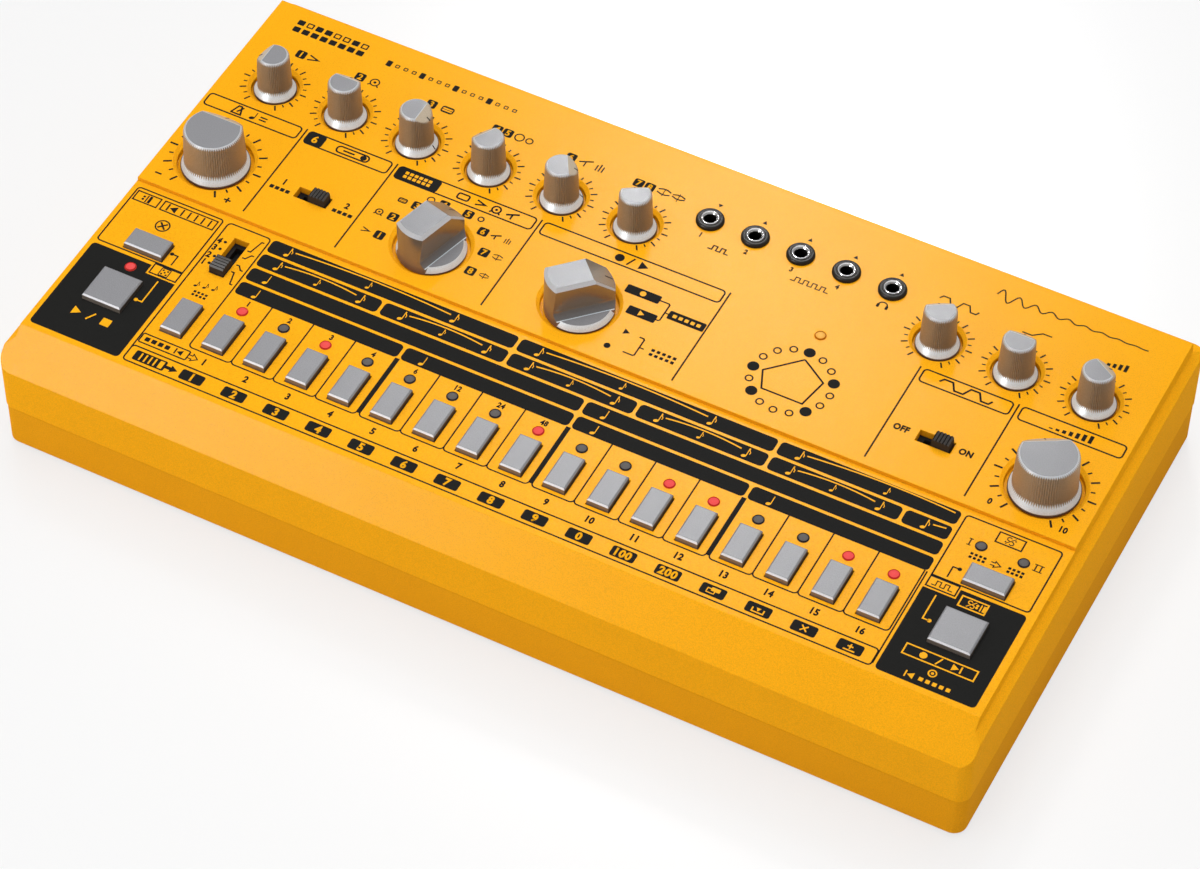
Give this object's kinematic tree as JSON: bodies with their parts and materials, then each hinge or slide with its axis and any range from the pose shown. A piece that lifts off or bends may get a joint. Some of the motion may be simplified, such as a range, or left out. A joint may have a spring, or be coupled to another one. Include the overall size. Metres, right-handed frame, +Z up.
{
  "type": "drum machine",
  "caption": "Flat desktop drum machine with a row of step keys, rotary knobs and selectors in dished wells, slide switches, lights and trigger sockets.",
  "frame": {"origin": "centre of the case's footprint, at the underside of its feet", "axes": "+X to the user's right along the step row, +Y towards the back connectors, +Z up"},
  "size_m": [0.305, 0.165, 0.056],
  "materials": {
    "case": "satin, finely textured orange-yellow",
    "rubber": "soft black",
    "circuit_board": "green solder mask",
    "black_plastic": "moulded black",
    "screw_steel": "zinc plated",
    "control_body": "moulded dark green",
    "red_lens_lit": "lit red lens",
    "red_lens_dark": "unlit smoked lens",
    "amber_lens": "unlit amber lens",
    "socket_chrome": "polished",
    "nut_black": "moulded black",
    "key_plastic": "satin light grey",
    "knob_grey": "satin silver-grey",
    "cap_black": "moulded ribbed",
    "rocker_black": "moulded"
  },
  "bodies": {
    "case": {"top_shell": "case", "bottom_shell": "case", "rubber_feet": "rubber", "panel_board": "circuit_board", "main_board": "circuit_board", "board_header": "black_plastic", "screws": "screw_steel", "pot_bodies": "control_body", "rotary_switch_bodies": "black_plastic", "tact_switches": "black_plastic", "slide_switch_bodies": "black_plastic", "leds_lit": "red_lens_lit", "leds_dark": "red_lens_dark", "led_amber": "amber_lens", "top_jack_sockets": "socket_chrome", "top_jack_nuts": "nut_black", "voice_jack_sockets": "black_plastic", "output_jack": "black_plastic", "midi_sockets": "black_plastic", "usb_socket": "socket_chrome", "dc_inlet": "black_plastic", "power_switch_body": "black_plastic"},
    "step_button_01": {"step_button_01": "key_plastic"},
    "step_button_02": {"step_button_02": "key_plastic"},
    "step_button_03": {"step_button_03": "key_plastic"},
    "step_button_04": {"step_button_04": "key_plastic"},
    "step_button_05": {"step_button_05": "key_plastic"},
    "step_button_06": {"step_button_06": "key_plastic"},
    "step_button_07": {"step_button_07": "key_plastic"},
    "step_button_08": {"step_button_08": "key_plastic"},
    "step_button_09": {"step_button_09": "key_plastic"},
    "step_button_10": {"step_button_10": "key_plastic"},
    "step_button_11": {"step_button_11": "key_plastic"},
    "step_button_12": {"step_button_12": "key_plastic"},
    "step_button_13": {"step_button_13": "key_plastic"},
    "step_button_14": {"step_button_14": "key_plastic"},
    "step_button_15": {"step_button_15": "key_plastic"},
    "step_button_16": {"step_button_16": "key_plastic"},
    "function_button": {"function_button": "key_plastic"},
    "clear_button": {"clear_button": "key_plastic"},
    "start_stop_button": {"start_stop_button": "key_plastic"},
    "pattern_group_button": {"pattern_group_button": "key_plastic"},
    "write_next_button": {"write_next_button": "key_plastic"},
    "knob_accent": {"knob_accent": "knob_grey"},
    "knob_bass_drum": {"knob_bass_drum": "knob_grey"},
    "knob_snare_drum": {"knob_snare_drum": "knob_grey"},
    "knob_tom": {"knob_tom": "knob_grey"},
    "knob_cymbal": {"knob_cymbal": "knob_grey"},
    "knob_hi_hat": {"knob_hi_hat": "knob_grey"},
    "knob_distortion": {"knob_distortion": "knob_grey"},
    "knob_tone": {"knob_tone": "knob_grey"},
    "knob_level": {"knob_level": "knob_grey"},
    "knob_tempo": {"knob_tempo": "knob_grey"},
    "knob_volume": {"knob_volume": "knob_grey"},
    "selector_instrument": {"selector_instrument": "knob_grey"},
    "selector_mode": {"selector_mode": "knob_grey"},
    "slider_select": {"slider_select": "cap_black"},
    "slider_scale": {"slider_scale": "cap_black"},
    "slider_distortion": {"slider_distortion": "cap_black"},
    "power_rocker": {"power_rocker": "rocker_black"}
  },
  "joints": [
    {"name": "step_button_01_press", "type": "slide", "parent": "case", "child": "step_button_01", "axis": [0, 0, -1], "range_m": [0, 0.0006], "stiffness_N_per_m": 400},
    {"name": "step_button_02_press", "type": "slide", "parent": "case", "child": "step_button_02", "axis": [0, 0, -1], "range_m": [0, 0.0006], "stiffness_N_per_m": 400},
    {"name": "step_button_03_press", "type": "slide", "parent": "case", "child": "step_button_03", "axis": [0, 0, -1], "range_m": [0, 0.0006], "stiffness_N_per_m": 400},
    {"name": "step_button_04_press", "type": "slide", "parent": "case", "child": "step_button_04", "axis": [0, 0, -1], "range_m": [0, 0.0006], "stiffness_N_per_m": 400},
    {"name": "step_button_05_press", "type": "slide", "parent": "case", "child": "step_button_05", "axis": [0, 0, -1], "range_m": [0, 0.0006], "stiffness_N_per_m": 400},
    {"name": "step_button_06_press", "type": "slide", "parent": "case", "child": "step_button_06", "axis": [0, 0, -1], "range_m": [0, 0.0006], "stiffness_N_per_m": 400},
    {"name": "step_button_07_press", "type": "slide", "parent": "case", "child": "step_button_07", "axis": [0, 0, -1], "range_m": [0, 0.0006], "stiffness_N_per_m": 400},
    {"name": "step_button_08_press", "type": "slide", "parent": "case", "child": "step_button_08", "axis": [0, 0, -1], "range_m": [0, 0.0006], "stiffness_N_per_m": 400},
    {"name": "step_button_09_press", "type": "slide", "parent": "case", "child": "step_button_09", "axis": [0, 0, -1], "range_m": [0, 0.0006], "stiffness_N_per_m": 400},
    {"name": "step_button_10_press", "type": "slide", "parent": "case", "child": "step_button_10", "axis": [0, 0, -1], "range_m": [0, 0.0006], "stiffness_N_per_m": 400},
    {"name": "step_button_11_press", "type": "slide", "parent": "case", "child": "step_button_11", "axis": [0, 0, -1], "range_m": [0, 0.0006], "stiffness_N_per_m": 400},
    {"name": "step_button_12_press", "type": "slide", "parent": "case", "child": "step_button_12", "axis": [0, 0, -1], "range_m": [0, 0.0006], "stiffness_N_per_m": 400},
    {"name": "step_button_13_press", "type": "slide", "parent": "case", "child": "step_button_13", "axis": [0, 0, -1], "range_m": [0, 0.0006], "stiffness_N_per_m": 400},
    {"name": "step_button_14_press", "type": "slide", "parent": "case", "child": "step_button_14", "axis": [0, 0, -1], "range_m": [0, 0.0006], "stiffness_N_per_m": 400},
    {"name": "step_button_15_press", "type": "slide", "parent": "case", "child": "step_button_15", "axis": [0, 0, -1], "range_m": [0, 0.0006], "stiffness_N_per_m": 400},
    {"name": "step_button_16_press", "type": "slide", "parent": "case", "child": "step_button_16", "axis": [0, 0, -1], "range_m": [0, 0.0006], "stiffness_N_per_m": 400},
    {"name": "function_button_press", "type": "slide", "parent": "case", "child": "function_button", "axis": [0, 0, -1], "range_m": [0, 0.0006], "stiffness_N_per_m": 400},
    {"name": "clear_button_press", "type": "slide", "parent": "case", "child": "clear_button", "axis": [0, 0, -1], "range_m": [0, 0.0006], "stiffness_N_per_m": 400},
    {"name": "start_stop_button_press", "type": "slide", "parent": "case", "child": "start_stop_button", "axis": [0, 0, -1], "range_m": [0, 0.0006], "stiffness_N_per_m": 400},
    {"name": "pattern_group_button_press", "type": "slide", "parent": "case", "child": "pattern_group_button", "axis": [0, 0, -1], "range_m": [0, 0.0006], "stiffness_N_per_m": 400},
    {"name": "write_next_button_press", "type": "slide", "parent": "case", "child": "write_next_button", "axis": [0, 0, -1], "range_m": [0, 0.0006], "stiffness_N_per_m": 400},
    {"name": "knob_accent_turn", "type": "hinge", "parent": "case", "child": "knob_accent", "pos_m": [-0.1333, 0.0441, 0.05], "axis": [0, 0, 1], "range_deg": [-240, 60]},
    {"name": "knob_bass_drum_turn", "type": "hinge", "parent": "case", "child": "knob_bass_drum", "pos_m": [-0.10907, 0.0441, 0.05], "axis": [0, 0, 1], "range_deg": [-150, 150]},
    {"name": "knob_snare_drum_turn", "type": "hinge", "parent": "case", "child": "knob_snare_drum", "pos_m": [-0.08484, 0.0441, 0.05], "axis": [0, 0, 1], "range_deg": [-60, 240]},
    {"name": "knob_tom_turn", "type": "hinge", "parent": "case", "child": "knob_tom", "pos_m": [-0.06061, 0.0441, 0.05], "axis": [0, 0, 1], "range_deg": [-210, 90]},
    {"name": "knob_cymbal_turn", "type": "hinge", "parent": "case", "child": "knob_cymbal", "pos_m": [-0.03638, 0.0441, 0.05], "axis": [0, 0, 1], "range_deg": [-90, 210]},
    {"name": "knob_hi_hat_turn", "type": "hinge", "parent": "case", "child": "knob_hi_hat", "pos_m": [-0.01215, 0.0441, 0.05], "axis": [0, 0, 1], "range_deg": [-180, 120]},
    {"name": "knob_distortion_turn", "type": "hinge", "parent": "case", "child": "knob_distortion", "pos_m": [0.08477, 0.0441, 0.05], "axis": [0, 0, 1], "range_deg": [-180, 120]},
    {"name": "knob_tone_turn", "type": "hinge", "parent": "case", "child": "knob_tone", "pos_m": [0.109, 0.0441, 0.05], "axis": [0, 0, 1], "range_deg": [-150, 150]},
    {"name": "knob_level_turn", "type": "hinge", "parent": "case", "child": "knob_level", "pos_m": [0.13323, 0.0441, 0.05], "axis": [0, 0, 1], "range_deg": [-118, 182]},
    {"name": "knob_tempo_turn", "type": "hinge", "parent": "case", "child": "knob_tempo", "pos_m": [-0.1333, 0.00915, 0.05], "axis": [0, 0, 1], "range_deg": [-150, 150]},
    {"name": "knob_volume_turn", "type": "hinge", "parent": "case", "child": "knob_volume", "pos_m": [0.13323, 0.00915, 0.05], "axis": [0, 0, 1], "range_deg": [-180, 120]},
    {"name": "selector_instrument_turn", "type": "hinge", "parent": "case", "child": "selector_instrument", "pos_m": [-0.06061, 0.00915, 0.05], "axis": [0, 0, 1], "range_deg": [-90, 120]},
    {"name": "selector_mode_turn", "type": "hinge", "parent": "case", "child": "selector_mode", "pos_m": [-0.01215, 0.00915, 0.05], "axis": [0, 0, 1], "range_deg": [-90, 0]},
    {"name": "slider_select_slide", "type": "slide", "parent": "case", "child": "slider_select", "axis": [1, 0, 0], "range_m": [-0.0042, 0]},
    {"name": "slider_distortion_slide", "type": "slide", "parent": "case", "child": "slider_distortion", "axis": [1, 0, 0], "range_m": [-0.0042, 0]},
    {"name": "slider_scale_slide", "type": "slide", "parent": "case", "child": "slider_scale", "axis": [0, 1, 0], "range_m": [0, 0.00921]},
    {"name": "power_rocker_tilt", "type": "hinge", "parent": "case", "child": "power_rocker", "pos_m": [0.118, 0.0779, 0.0265], "axis": [0, 0, 1], "range_deg": [0, 16]}
  ]
}
